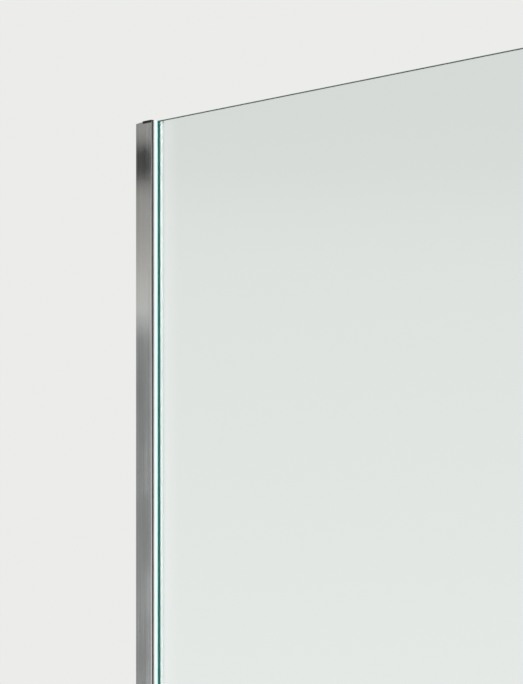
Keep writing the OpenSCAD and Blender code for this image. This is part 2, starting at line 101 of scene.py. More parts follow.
class Graph:
    """A node tree, with short calls that add nodes and join them."""

    # Places of a Mix node's sockets, whose names repeat for each kind of data
    MIX_NUMBERS = (2, 3)
    MIX_COLOURS = (6, 7)
    MIX_COLOUR_OUT = 2

    def __init__(self, tree: bpy.types.NodeTree) -> None:
        """Empties the tree.

        Args:
            tree: The tree of a material, a world or a node group.
        """
        self.tree = tree
        self.tree.nodes.clear()

    def add(self, kind: str, feeds: dict[str | int, Feed] | None = None, **settings: object) -> Node:
        """Adds a node.

        Args:
            kind: The node's type.
            feeds: What each input, by its name or place, is set to or joined to.
            settings: The node's own properties.

        Returns:
            The new node.
        """
        node = self.tree.nodes.new(kind)
        for name, value in settings.items():
            setattr(node, name, value)
        for name, value in (feeds or {}).items():
            self.feed(node.inputs[name], value)
        return node

    def feed(self, socket: Socket, value: Feed) -> None:
        """Joins a socket to another one, or sets its value.

        Args:
            socket: The input.
            value: An output socket, a number, or three numbers for a colour or vector.
        """
        if isinstance(value, bpy.types.NodeSocket):
            self.tree.links.new(value, socket)
        elif socket.type == "RGBA":
            socket.default_value = (*value, 1.0)
        else:
            socket.default_value = value

    def sum(self, operation: str, *terms: Feed) -> Socket:
        """One step of arithmetic on numbers or sockets."""
        return self.add("ShaderNodeMath", dict(enumerate(terms)), operation=operation).outputs[0]

    def ramp(self, value: Socket, source: Range, target: Range = RISING) -> Socket:
        """Maps a value from one range to another and keeps it inside.

        Args:
            value: The value to map.
            source: The lowest and highest value that come in.
            target: What they become.

        Returns:
            The mapped value.
        """
        feeds = {
            "Value": value,
            "From Min": source[0],
            "From Max": source[1],
            "To Min": target[0],
            "To Max": target[1],
        }
        return self.add("ShaderNodeMapRange", feeds).outputs[0]

    def blend(self, factor: Socket, low: Feed, high: Feed) -> Socket:
        """Blends two numbers: a factor of 0 gives the first one and 1 the second."""
        first, second = self.MIX_NUMBERS
        return self.add("ShaderNodeMix", {0: factor, first: low, second: high}).outputs[0]

    def tint(self, factor: Feed, low: Feed, high: Feed, way: str = "MIX") -> Socket:
        """Blends two colours.

        Args:
            factor: 0 gives the first colour and 1 the full blend.
            low: The first colour.
            high: The second colour.
            way: How the second colour goes over the first.

        Returns:
            The blended colour.
        """
        first, second = self.MIX_COLOURS
        feeds = {0: factor, first: low, second: high}
        mix = self.add("ShaderNodeMix", feeds, data_type="RGBA", blend_type=way)
        return mix.outputs[self.MIX_COLOUR_OUT]

    def levels(self, value: Socket, stops: Stops) -> Socket:
        """Grey levels along a value.

        Args:
            value: Where to look, from 0 to 1.
            stops: The level at each of a few places.

        Returns:
            The grey at the value, blended between the stops.
        """
        ramp = self.add("ShaderNodeValToRGB", {0: value})
        marks = ramp.color_ramp.elements
        ready = len(marks)
        for i, (where, level) in enumerate(stops):
            mark = marks[i] if i < ready else marks.new(where)
            mark.position = where
            mark.color = (level, level, level, 1.0)
        return ramp.outputs[0]


class Sheet(Graph):
    """One material's node tree."""

    def __init__(self, name: str) -> None:
        """Starts an empty tree.

        Args:
            name: The material's name.
        """
        self.material = bpy.data.materials.new(name)
        self.material.use_nodes = True
        super().__init__(self.material.node_tree)
        self.output = self.add("ShaderNodeOutputMaterial")

    def surface(self, shader: Socket) -> bpy.types.Material:
        """Ends the tree in a surface shader.

        Args:
            shader: The shader's output.

        Returns:
            The finished material.
        """
        self.feed(self.output.inputs["Surface"], shader)
        return self.material

    def point(self) -> Socket:
        """The point's object coordinates."""
        return self.add("ShaderNodeTexCoord").outputs["Object"]

    def place(self) -> dict[str, Socket]:
        """The point's object coordinates, by axis."""
        return {axis.name: axis for axis in self.add("ShaderNodeSeparateXYZ", {0: self.point()}).outputs}

    def mark(self, name: str) -> Socket:
        """The value of a mesh's own attribute."""
        return self.add("ShaderNodeAttribute", attribute_name=name).outputs["Fac"]

    def noise(self, per_metre: Triple | float, detail: float = 3.0) -> Socket:
        """Noise on object coordinates.

        Args:
            per_metre: How many blotches lie in a metre, along X, Y and Z or alike along all three.
            detail: Octaves of finer noise.

        Returns:
            A factor around one half.
        """
        scale = per_metre if isinstance(per_metre, tuple) else (per_metre,) * 3
        spread = self.add("ShaderNodeMapping", {"Vector": self.point(), "Scale": scale})
        feeds = {"Vector": spread.outputs[0], "Scale": 1.0, "Detail": detail}
        return self.add("ShaderNodeTexNoise", feeds).outputs[0]

    def relief(self, height: Socket, depth: float) -> Socket:
        """Bumps the surface.

        Args:
            height: A factor from 0 to 1.
            depth: The height of a full bump, in metres.

        Returns:
            The bent normal.
        """
        feeds = {"Height": height, "Distance": depth, "Strength": 1.0}
        return self.add("ShaderNodeBump", feeds).outputs[0]

    def principled(self, feeds: dict[str | int, Feed]) -> Socket:
        """A Principled shader with these inputs."""
        return self.add("ShaderNodeBsdfPrincipled", feeds).outputs[0]

    def either(self, share: Socket, first: Socket, second: Socket) -> Socket:
        """Blends two shaders: a share of 0 gives the first one and 1 the second."""
        return self.add("ShaderNodeMixShader", {0: share, 1: first, 2: second}).outputs[0]


@dataclass(frozen=True)
class Metal:
    """Bare or plated metal, whose gloss and tone wander along the lines that its making left."""

    slot: Slot
    light: Colour
    dark: Colour
    gloss: Range
    grain: Triple
    grain_depth: float
    smudges: float = 18.0
    gloss_core: Range = (0.12, 0.38)

    def material(self) -> bpy.types.Material:
        """Builds the finish: fine grain lines in tone, gloss and relief over slow smudges.

        Returns:
            The finished material.
        """
        sheet = Sheet(self.slot.value)
        lines = sheet.noise(self.grain, detail=4.0)
        cloud = sheet.noise(self.smudges, detail=2.0)
        colour = sheet.tint(sheet.ramp(lines, NOISE_CORE), self.dark, self.light)
        gloss = sheet.ramp(sheet.sum("MULTIPLY", lines, cloud), self.gloss_core, self.gloss)
        # tips of lips: a dull finish and painted shade, on the profile that has them
        colour, gloss = self.dull_shaded_tips(sheet, colour, gloss)
        shader = sheet.principled({
            "Base Color": colour,
            "Metallic": 1.0,
            "Roughness": gloss,
            "Normal": sheet.relief(lines, self.grain_depth),
        })
        return sheet.surface(shader)

    def dull_shaded_tips(self, sheet: Sheet, colour: Socket, gloss: Socket) -> tuple[Socket, Socket]:
        """Changes the finish at the lips' tips, made dull and given painted shade on one profile, which on
        most metal is nowhere.
        """
        return colour, gloss


@dataclass(frozen=True)
class DrawnProfile(Metal):
    """Polished extrusion whose lips keep the dull tips that the die leaves, with painted shade on their end
    faces.
    """

    tips: float = 30.93 * MM
    tip_blend: float = 0.04 * MM
    # tip shade colour: painted shade, near black, on the lips' end faces; the tip gloss is the real dull
    # finish
    tip_shade_colour: Colour = (0.105, 0.097, 0.097)
    tip_gloss: float = 0.42

    def dull_shaded_tips(self, sheet: Sheet, colour: Socket, gloss: Socket) -> tuple[Socket, Socket]:
        """Dulls the tips of the lips at the mouth and paints them near black, as painted shade on their end
        faces.

        Args:
            sheet: The material.
            colour: The polished colour.
            gloss: The polished roughness.

        Returns:
            The colour with the painted shade on the tips, and the roughness with the dull tips.
        """
        # mask of the tips: the painted shade and the dull gloss both follow it
        dull_shaded_tip = sheet.ramp(sheet.place()["X"], (self.tips, self.tips + self.tip_blend))
        return sheet.tint(dull_shaded_tip, colour, self.tip_shade_colour), sheet.blend(dull_shaded_tip, gloss, self.tip_gloss)


@dataclass(frozen=True)
class Moulding:
    """Moulded plastic or rubber with a faint mottle and a fine skin."""

    slot: Slot
    light: Colour
    dark: Colour
    gloss: Range
    mottle: float
    skin: float
    skin_depth: float
    glow: float = 0.0
    glow_reach: Triple = (0.5, 0.6, 0.6)
    glow_depth: float = 1.5 * MM
    shine: float = 0.5

    def colour(self, sheet: Sheet) -> Socket:
        """The mottled colour of the surface."""
        return sheet.tint(sheet.ramp(sheet.noise(self.mottle), NOISE_CORE), self.dark, self.light)

    def material(self) -> bpy.types.Material:
        """Builds the finish. glow is the share of light that goes through the surface's skin.

        Returns:
            The finished material.
        """
        sheet = Sheet(self.slot.value)
        skin = sheet.noise(self.skin, detail=2.0)
        shader = sheet.principled({
            "Base Color": self.colour(sheet),
            "Roughness": sheet.ramp(skin, NOISE_BODY, self.gloss),
            "Specular IOR Level": self.shine,
            "Subsurface Weight": self.glow,
            "Subsurface Radius": self.glow_reach,
            "Subsurface Scale": self.glow_depth,
            "Normal": sheet.relief(skin, self.skin_depth),
        })
        return sheet.surface(shader)


@dataclass(frozen=True)
class BulbGasket(Moulding):
    """Gasket with a pale soft bulb at its mouth and a dark root in the profile, whose dark teal is partly
    darker plastic and partly painted shade; the heel against the glass is painted shade too.
    """

    # root colour: dark teal, partly the root's darker plastic and partly painted shade of the gaps in the
    # profile and against the glass
    root: Colour = (0.004, 0.165, 0.135)
    root_shade_end: float = 30.7 * MM
    heel_shade_end: float = 33.2 * MM
    heel_shade_face: float = 5.15 * MM
    blend: float = 0.25 * MM
    # mint: painted shade and a painted green reflection of the glass, on the outer bulb's side that faces
    # the glass
    glass_side_shade: Colour = (0.52, 0.92, 0.87)
    glass_side_shade_faces: Range = (-6.9 * MM, -5.4 * MM)

    def colour(self, sheet: Sheet) -> Socket:
        """The pale bulb, with painted shade and a painted green glass reflection on the outer one's glass
        side, the dark root, partly darker plastic and partly painted shade, and the heel, painted shade of
        its gap against the glass.

        Args:
            sheet: The material.

        Returns:
            The colour.
        """
        place = sheet.place()
        from_glass = sheet.sum("ABSOLUTE", place["Y"])
        # outer bulb only: the mint painted shade and glass reflection go on the faces that look at the
        # glass
        outer = sheet.sum("LESS_THAN", place["Y"], 0.0)
        glass_side_shade = sheet.sum("MULTIPLY", sheet.ramp(place["Y"], self.glass_side_shade_faces), outer)
        bulb = sheet.tint(glass_side_shade, super().colour(sheet), self.glass_side_shade)
        # painted shade: the root inside the profile and the heel in the gap against the glass go dark teal
        root = sheet.ramp(place["X"], (self.root_shade_end, self.root_shade_end + self.blend), FALLING)
        heel_gap_shade = sheet.ramp(place["X"], (self.heel_shade_end, self.heel_shade_end + self.blend), FALLING)
        near_glass_gap = sheet.ramp(from_glass, (self.heel_shade_face - self.blend, self.heel_shade_face), FALLING)
        dark = sheet.sum("MAXIMUM", root, sheet.sum("MULTIPLY", heel_gap_shade, near_glass_gap))
        return sheet.tint(dark, bulb, self.root)


@dataclass(frozen=True)
class ClearMoulding(Moulding):
    """Clear to milky plastic that lets much of the light through."""

    clear: float = 0.5
    ior: float = 1.5

    def material(self) -> bpy.types.Material:
        """Builds a frosted see-through skin over the mottled colour.

        Returns:
            The finished material.
        """
        sheet = Sheet(self.slot.value)
        skin = sheet.noise(self.skin, detail=2.0)
        shader = sheet.principled({
            "Base Color": self.colour(sheet),
            "Roughness": sheet.ramp(skin, NOISE_BODY, self.gloss),
            "IOR": self.ior,
            "Transmission Weight": self.clear,
            "Normal": sheet.relief(skin, self.skin_depth),
        })
        return sheet.surface(shader)


@dataclass(frozen=True)
class FloatGlass:
    """Clear float glass: a green cast in its depth, and ground edges that hold the green."""

    slot: Slot
    cast: Colour
    cast_per_metre: float
    edge_light: Colour
    edge_dark: Colour
    edge_gloss: Range
    edge_solid: float
    lamp_pass: Colour
    ior: float = 1.52
    waves: float = 3.0
    grit: float = 900.0
    relief_depth: float = 0.01 * MM
    edge_mark: str = "ground_edge"

    def material(self) -> bpy.types.Material:
        """Builds the glass, with the marked edge faces ground and green.

        Returns:
            The finished material.
        """
        sheet = Sheet(self.slot.value)
        waves = sheet.noise(self.waves, detail=1.0)
        clear = sheet.principled({
            "Base Color": (1.0, 1.0, 1.0),
            "Roughness": 0.0,
            "IOR": self.ior,
            "Transmission Weight": 1.0,
            "Normal": sheet.relief(waves, self.relief_depth),
        })
        grit = sheet.noise(self.grit)
        edge = sheet.principled({
            "Base Color": sheet.tint(grit, self.edge_dark, self.edge_light),
            "Roughness": sheet.ramp(grit, NOISE_BODY, self.edge_gloss),
            "IOR": self.ior,
            "Transmission Weight": 1.0 - self.edge_solid,
            "Normal": sheet.relief(grit, self.relief_depth),
        })
        body = sheet.either(sheet.mark(self.edge_mark), clear, edge)
        lamps = sheet.add("ShaderNodeBsdfTransparent", {"Color": self.lamp_pass}).outputs[0]
        shadow = sheet.add("ShaderNodeLightPath").outputs["Is Shadow Ray"]
        feeds = {"Color": self.cast, "Density": self.cast_per_metre}
        depth = sheet.add("ShaderNodeVolumeAbsorption", feeds).outputs[0]
        sheet.feed(sheet.output.inputs["Volume"], depth)
        return sheet.surface(sheet.either(shadow, body, lamps))


FINISHES: dict[Slot, Metal | Moulding | FloatGlass] = {
    finish.slot: finish
    for finish in (
        DrawnProfile(
            Slot.ALUMINIUM, (0.82, 0.825, 0.83), (0.755, 0.76, 0.765), (0.08, 0.14),
            grain=(420.0, 420.0, 4.0), grain_depth=0.002 * MM,
        ),
        Metal(
            Slot.CHROME, (0.84, 0.85, 0.86), (0.79, 0.80, 0.82), (0.04, 0.10),
            grain=(60.0, 60.0, 60.0), grain_depth=0.001 * MM,
        ),
        Metal(
            Slot.STEEL, (0.68, 0.67, 0.66), (0.54, 0.54, 0.53), (0.24, 0.38),
            grain=(2500.0, 2500.0, 400.0), grain_depth=0.006 * MM,
        ),
        FloatGlass(
            Slot.GLASS,
            cast=(0.0, 0.367, 0.327),
            cast_per_metre=9.8,
            edge_light=(0.048, 0.135, 0.110),
            edge_dark=(0.018, 0.062, 0.050),
            edge_gloss=(0.22, 0.42),
            edge_solid=0.75,
            lamp_pass=(0.97, 0.99, 0.985),
        ),
        BulbGasket(
            Slot.GASKET, (0.92, 0.965, 0.945), (0.87, 0.93, 0.91), (0.34, 0.46),
            mottle=40.0, skin=2200.0, skin_depth=0.01 * MM, glow=0.25, shine=0.3,
        ),
        ClearMoulding(
            Slot.CLEAR_PLASTIC, (0.95, 0.97, 0.96), (0.90, 0.94, 0.93), (0.26, 0.40),
            mottle=35.0, skin=900.0, skin_depth=0.003 * MM,
        ),
        Moulding(
            Slot.GREY_PLASTIC, (0.46, 0.47, 0.47), (0.37, 0.38, 0.38), (0.42, 0.60),
            mottle=90.0, skin=2600.0, skin_depth=0.02 * MM,
        ),
        Moulding(
            Slot.DARK_PLASTIC, (0.014, 0.014, 0.015), (0.008, 0.008, 0.009), (0.44, 0.58),
            mottle=110.0, skin=2600.0, skin_depth=0.02 * MM, shine=0.25,
        ),
        Moulding(
            Slot.RUBBER, (0.050, 0.050, 0.051), (0.028, 0.028, 0.029), (0.55, 0.78),
            mottle=140.0, skin=1800.0, skin_depth=0.03 * MM,
        ),
        Moulding(
            Slot.NYLON, (0.88, 0.88, 0.85), (0.78, 0.78, 0.74), (0.35, 0.50),
            mottle=120.0, skin=2000.0, skin_depth=0.02 * MM, glow=0.15,
        ),
    )
}


class Bench:
    """Where pieces get their finish and are put on their bodies."""

    def __init__(self) -> None:
        """Makes every finish once."""
        self.paints = {slot: finish.material() for slot, finish in FINISHES.items()}
        self.report: list[str] = []

    def dress(self, *nodes: str) -> None:
        """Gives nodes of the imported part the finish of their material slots.

        Args:
            nodes: The nodes' names.
        """
        for node in nodes:
            slot = self.slot_of(node)
            self.paint(frame["nodes"][node], slot)
            self.note(node, slot, "as packed")

    def place(self, thing: bpy.types.Object, body: Body, slot: Slot, stands_for: str = "") -> None:
        """Finishes a new piece and puts it on its body.

        Args:
            thing: The piece, with its place in its mesh.
            body: The body that it rides on.
            slot: The material slot that it takes its finish from.
            stands_for: The node that it replaces, if any.
        """
        self.paint(thing, slot)
        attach(thing, body.value)
        if stands_for:
            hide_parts(stands_for)
        self.note(thing.name, slot, f"in place of {stands_for}" if stands_for else "added")

    def paint(self, thing: bpy.types.Object, slot: Slot) -> None:
        """Puts one finish on all of a piece."""
        thing.data.materials.clear()
        thing.data.materials.append(self.paints[slot])

    def note(self, name: str, slot: Slot, how: str) -> None:
        """Reports one finished piece."""
        self.report.append(name)
        LOG.info("%02d %-24s %-17s %s", len(self.report), name, slot.value, how)

    @staticmethod
    def slot_of(node: str) -> Slot:
        """The material slot that the record gives a node."""
        slots = {part["node"]: part["material_slot"] for part in frame["record"]["subparts"]}
        return Slot(slots[node])


def show(name: str, data: bpy.types.ID) -> bpy.types.Object:
    """Puts a mesh, lamp or camera in the scene.

    Args:
        name: The object's name.
        data: What it shows.

    Returns:
        The new object, at the origin.
    """
    thing = bpy.data.objects.new(name, data)
    bpy.context.scene.collection.objects.link(thing)
    return thing


def hide_from(thing: bpy.types.Object, *rays: str) -> None:
    """Makes an object unseen by some kinds of rays."""
    for ray in rays:
        setattr(thing, f"visible_{ray}", False)


def new_piece(name: str, shape: bmesh.types.BMesh, smooth_below: float = 0.0) -> bpy.types.Object:
    """Turns a shape into an object at the origin.

    Args:
        name: The piece's name.
        shape: Its mesh, which is used up.
        smooth_below: Edges that turn by less than this angle are shaded smooth.

    Returns:
        The new object, in the scene.
    """
    mesh = bpy.data.meshes.new(name)
    shape.to_mesh(mesh)
    shape.free()
    if smooth_below > 0:
        mesh.shade_smooth()
        mesh.set_sharp_from_angle(angle=smooth_below)
    return show(name, mesh)


def spaced(first: float, last: float, count: int) -> list[float]:
    """Places at equal steps from the first to the last."""
    step = (last - first) / (count - 1)
    return [first + i * step for i in range(count)]


@dataclass(frozen=True)
class Softener:
    """Breaks the sharp edges of a node's shape, as tumbling and plating leave them."""

    radius: float
    sharp: float = math.radians(40)
    flat: float = math.radians(0.5)
    smooth_below: float = math.radians(50)
    steps: int = 2

    def apply(self, node: str, name: str) -> bpy.types.Object:
        """Makes a softened copy of a node.

        Args:
            node: The node to copy.
            name: The new piece's name.

        Returns:
            The copy, with its place in its mesh.
        """
        shape = bmesh.new()
        shape.from_mesh(frame["nodes"][node].data)
        bmesh.ops.remove_doubles(shape, verts=shape.verts, dist=MERGE_GAP)
        bmesh.ops.dissolve_limit(
            shape, angle_limit=self.flat, verts=shape.verts, edges=shape.edges
        )
        edges = [e for e in shape.edges if len(e.link_faces) == 2 and e.calc_face_angle() > self.sharp]
        bmesh.ops.bevel(
            shape, geom=edges, offset=self.radius, offset_type="OFFSET", segments=self.steps,
            profile=0.5, affect="EDGES", clamp_overlap=True,
        )
        bmesh.ops.recalc_face_normals(shape, faces=shape.faces)
        return new_piece(name, shape, self.smooth_below)


class Tree(Graph):
    """A Geometry Nodes tree that wraps a grid into a shape and repeats it on points."""

    SMOOTH_BELOW = math.radians(40)

    def __init__(self, name: str, *sizes: str) -> None:
        """Starts a tree that takes points and gives a mesh.

        Args:
            name: The node group's name.
            sizes: Names of the inputs that hold the shape's sizes.
        """
        super().__init__(bpy.data.node_groups.new(name, "GeometryNodeTree"))
        self.sockets: dict[str, str] = {}
        face = self.tree.interface
        face.new_socket("Geometry", in_out="OUTPUT", socket_type="NodeSocketGeometry")
        face.new_socket("Geometry", in_out="INPUT", socket_type="NodeSocketGeometry")
        self.declare("Finish", "NodeSocketMaterial")
        self.declare("Direction", "NodeSocketVector")
        for size in sizes:
            self.declare(size)
        self.source = self.add("NodeGroupInput")

    def declare(self, name: str, kind: str = "NodeSocketFloat") -> None:
        """Adds a named input to the tree."""
        socket = self.tree.interface.new_socket(name, in_out="INPUT", socket_type=kind)
        self.sockets[name] = socket.identifier

    def value(self, name: str) -> Socket:
        """A named input's socket inside the tree."""
        return self.source.outputs[name]

    def unit_grid(self, columns: Feed, rows: Feed) -> tuple[Socket, Socket, Socket]:
        """A flat grid, whose points are then wrapped into the shape.

        Args:
            columns: Points along it.
            rows: Points across it.

        Returns:
            The grid, and each point's place along and across it, from 0 to 1.
        """
        side = 1.0
        feeds = {"Size X": side, "Size Y": side, "Vertices X": columns, "Vertices Y": rows}
        grid = self.add("GeometryNodeMeshGrid", feeds).outputs[0]
        spot = self.add("GeometryNodeInputPosition").outputs[0]
        split = self.add("ShaderNodeSeparateXYZ", {0: spot}).outputs
        along = self.sum("ADD", split["X"], side / 2)
        across = self.sum("ADD", split["Y"], side / 2)
        return grid, along, across

    def wrapped(self, grid: Socket, radius: Socket, angle: Socket, height: Socket) -> Socket:
        """Moves a grid's points round the Z axis.

        Args:
            grid: The grid.
            radius: Each point's distance from the axis.
            angle: Its turn round the axis.
            height: Its place along the axis.

        Returns:
            The wrapped mesh.
        """
        feeds = {
            "X": self.sum("MULTIPLY", radius, self.sum("COSINE", angle)),
            "Y": self.sum("MULTIPLY", radius, self.sum("SINE", angle)),
            "Z": height,
        }
        place = self.add("ShaderNodeCombineXYZ", feeds).outputs[0]
        return self.add("GeometryNodeSetPosition", {"Geometry": grid, "Position": place}).outputs[0]

    def strewn(self, shape: Socket) -> None:
        """Ends the tree: puts the shape on every point with its Z along the direction, as real faces.

        Args:
            shape: The mesh to repeat.
        """
        turn = self.add("FunctionNodeAlignRotationToVector", {"Vector": self.value("Direction")}, axis="Z")
        feeds = {"Points": self.value("Geometry"), "Instance": shape, "Rotation": turn.outputs[0]}
        spread = self.add("GeometryNodeInstanceOnPoints", feeds)
        real = self.add("GeometryNodeRealizeInstances", {0: spread.outputs[0]})
        feeds = {"Geometry": real.outputs[0], "Material": self.value("Finish")}
        dressed = self.add("GeometryNodeSetMaterial", feeds)
        self.add("NodeGroupOutput", {0: dressed.outputs[0]})

    def run(self, name: str, points: list[Vector], inputs: dict[str, object]) -> bpy.types.Object:
        """Runs the tree on points and keeps the result as a plain mesh.

        Args:
            name: The new piece's name.
            points: Where the tree's shape is repeated.
            inputs: Values of the tree's named inputs.

        Returns:
            The new object, in the scene.
        """
        seed = bpy.data.meshes.new(name + "_points")
        seed.from_pydata([tuple(p) for p in points], [], [])
        host = show(name + "_points", seed)
        modifier = host.modifiers.new("nodes", "NODES")
        modifier.node_group = self.tree
        for key, value in inputs.items():
            modifier[self.sockets[key]] = value
        bpy.context.view_layer.update()
        graph = bpy.context.evaluated_depsgraph_get()
        mesh = bpy.data.meshes.new_from_object(host.evaluated_get(graph))
        host.modifiers.clear()
        bpy.data.objects.remove(host)
        bpy.data.meshes.remove(seed)
        shape = bmesh.new()
        shape.from_mesh(mesh)
        bpy.data.meshes.remove(mesh)
        bmesh.ops.remove_doubles(shape, verts=shape.verts, dist=MERGE_GAP)
        bmesh.ops.recalc_face_normals(shape, faces=shape.faces)
        return new_piece(name, shape, self.SMOOTH_BELOW)


class ThreadTree(Tree):
    """A screw thread: one ridge that winds round a core and runs out at both ends."""

    STEPS_A_TURN = 28
    SIDES = 3

    def __init__(self) -> None:
        """Builds the ridge on a long grid, three faces round and many along."""
        super().__init__(
            "screw_thread", "Core radius", "Ridge", "Root", "Half width", "Pitch", "Length", "Run-out"
        )
        turns = self.sum("DIVIDE", self.value("Length"), self.value("Pitch"))
        count = self.sum("MULTIPLY", turns, float(self.STEPS_A_TURN))
        grid, along, round_it = self.unit_grid(count, self.SIDES + 1)
        corner = self.sum("ROUND", self.sum("MULTIPLY", round_it, float(self.SIDES)))
        corner = self.sum("FLOORED_MODULO", corner, float(self.SIDES))
        side = self.sum("SUBTRACT", corner, 1.0)
        crest = self.sum("SUBTRACT", 1.0, self.sum("ABSOLUTE", side))
        from_start = self.sum("DIVIDE", self.sum("MULTIPLY", along, turns), self.value("Run-out"))
        to_end = self.sum("SUBTRACT", self.sum("DIVIDE", turns, self.value("Run-out")), from_start)
        fade = self.sum("MINIMUM", self.sum("MINIMUM", from_start, to_end), 1.0)
        height = self.sum("ADD", self.value("Ridge"), self.value("Root"))
        rise = self.sum("MULTIPLY", self.sum("MULTIPLY", crest, fade), height)
        radius = self.sum("ADD", self.sum("SUBTRACT", self.value("Core radius"), self.value("Root")), rise)
        shift = self.sum("MULTIPLY", self.sum("MULTIPLY", side, fade), self.value("Half width"))
        depth = self.sum("ADD", self.sum("MULTIPLY", along, self.value("Length")), shift)
        angle = self.sum("MULTIPLY", self.sum("MULTIPLY", along, turns), math.tau)
        self.strewn(self.wrapped(grid, radius, angle, depth))


@dataclass(frozen=True)
class Thread:
    """The thread of a group of wood screws, over their plain cores."""

    core: float
    ridge: float
    pitch: float
    length: float = 37.0 * MM
    root: float = 0.12 * MM
    half_width: float = 0.24
    run_out: float = 1.2

    def wind(self, name: str, points: list[Vector], direction: Triple, bench: Bench) -> bpy.types.Object:
        """Winds the threads. half_width is a share of the pitch, and run_out counts turns.

        Args:
            name: The new piece's name.
            points: Where each thread starts.
            direction: The way that the screws point.
            bench: Where pieces are finished.

        Returns:
            All the threads as one object.
        """
        inputs = {
            "Core radius": self.core,
            "Ridge": self.ridge,
            "Root": self.root,
            "Half width": self.pitch * self.half_width,
            "Pitch": self.pitch,
            "Length": self.length,
            "Run-out": self.run_out,
            "Direction": direction,
            "Finish": bench.paints[Slot.STEEL],
        }
        return ThreadTree().run(name, points, inputs)


class CoverTree(Tree):
    """A snap cover: a hollow cap turned from a squarish arc, with one wall all over."""

    ROUND = 64
    ARC = 14

    def __init__(self) -> None:
        """Builds the cap on a grid, with its outer and inner arcs one after the other."""
        super().__init__("snap_cover", "Radius", "Height", "Wall", "Squareness")
        columns = 2 * self.ARC
        grid, around, down_arc = self.unit_grid(self.ROUND + 1, columns + 1)
        turn = self.sum("MULTIPLY", around, math.tau)
        step = self.sum("ROUND", self.sum("MULTIPLY", down_arc, float(columns)))
        step = self.sum("FLOORED_MODULO", step, float(columns))
        inner = self.sum("GREATER_THAN", step, self.ARC - 0.5)
        up = self.sum("DIVIDE", step, self.ARC - 1.0)
        down = self.sum("DIVIDE", self.sum("SUBTRACT", columns - 1.0, step), self.ARC - 1.0)
        arc = self.sum("MULTIPLY", self.sum("MINIMUM", up, down), math.pi / 2)
        power = self.sum("DIVIDE", 2.0, self.value("Squareness"))
        wall = self.sum("MULTIPLY", inner, self.value("Wall"))
        flat = self.sum("POWER", self.sum("MAXIMUM", self.sum("COSINE", arc), 0.0), power)
        tall = self.sum("POWER", self.sum("SINE", arc), power)
        radius = self.sum("MULTIPLY", flat, self.sum("SUBTRACT", self.value("Radius"), wall))
        height = self.sum("MULTIPLY", tall, self.sum("SUBTRACT", self.value("Height"), wall))
        self.strewn(self.wrapped(grid, radius, turn, height))


@dataclass(frozen=True)
class WallProfile:
    """The channel on the wall, the profile that slides over it, their screws, gaskets and cap."""

    screw_count: int = 4
    thread: Thread = Thread(core=2.1 * MM, ridge=0.42 * MM, pitch=2.0 * MM)
    lock_count: int = 3
    cover_wall: float = 1.1 * MM
    cover_squareness: float = 6.0

    def build(self, bench: Bench) -> None:
        """Dresses and adds every piece of the wall profile.

        Args:
            bench: Where pieces are finished.
        """
        bench.dress("wall_channel", "wall_screws", "wall_washers")
        self.add_threads(bench)
        bench.dress(
            "glazing_profile", "outer_gasket", "inner_gasket", "glass_packers", "top_cap", "locking_screws",
        )
        self.add_covers(bench)

    def add_threads(self, bench: Bench) -> None:
        """Winds a thread round the core of each wall screw.

        Args:
            bench: Where pieces are finished.
        """
        low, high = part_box("wall_screws")
        head = (high.y - low.y) / 2
        heights = spaced(low.z + head, high.z - head, self.screw_count)
        points = [Vector((0.0, 0.0, height)) for height in heights]
        threads = self.thread.wind("wall_screw_threads", points, (-1.0, 0.0, 0.0), bench)
        bench.place(threads, Body.WALL_SIDE, Slot.STEEL)

    def add_covers(self, bench: Bench) -> None:
        """Turns the snap covers over the locking screws.

        Args:
            bench: Where pieces are finished.
        """
        low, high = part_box("locking_screw_covers")
        radius = (high.x - low.x) / 2
        centre = (low.x + high.x) / 2
        heights = spaced(low.z + radius, high.z - radius, self.lock_count)
        points = [Vector((centre, low.y, height)) for height in heights]
        inputs = {
            "Radius": radius,
            "Height": high.y - low.y,
            "Wall": self.cover_wall,
            "Squareness": self.cover_squareness,
            "Direction": (0.0, 1.0, 0.0),
            "Finish": bench.paints[Slot.CHROME],
        }
        covers = CoverTree().run("locking_screw_caps", points, inputs)
        bench.place(covers, Body.PANEL, Slot.CHROME, "locking_screw_covers")


@dataclass(frozen=True)
class GlassPane:
    """The sheet of glass, with the seal under it and the blocks that carry it."""

    setback: float = 0.03 * MM
    arris: float = 0.6 * MM
    face_normal: float = 0.99

    def build(self, bench: Bench) -> None:
        """Dresses the seal and blocks, and cuts the glass.

        Args:
            bench: Where pieces are finished.
        """
        bench.dress("floor_seal", "setting_blocks")
        bench.place(self.sheet(), Body.PANEL, Slot.GLASS, "glass_panel")

    def sheet(self) -> bpy.types.Object:
        """The sheet with an arris on every edge, set back a hair from all that holds it.

        Returns:
            The sheet, with its edge faces marked for the ground finish.
        """
        low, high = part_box("glass_panel")
        hair = Vector((self.setback,) * 3)
        low, high = low + hair, high - hair
        shape = bmesh.new()
        bmesh.ops.create_cube(shape, size=1.0)
        for corner in shape.verts:
            corner.co = Vector(low[i] if corner.co[i] < 0 else high[i] for i in range(3))
        bmesh.ops.bevel(
            shape, geom=list(shape.edges), offset=self.arris, offset_type="OFFSET", segments=1,
            profile=0.5, affect="EDGES", clamp_overlap=True,
        )
        bmesh.ops.recalc_face_normals(shape, faces=shape.faces)
        marks = [0.0 if abs(face.normal.y) > self.face_normal else 1.0 for face in shape.faces]
        glass = new_piece("glass_sheet", shape)
        layer = glass.data.attributes.new(FINISHES[Slot.GLASS].edge_mark, "FLOAT", "FACE")
        layer.data.foreach_set("value", marks)
        return glass


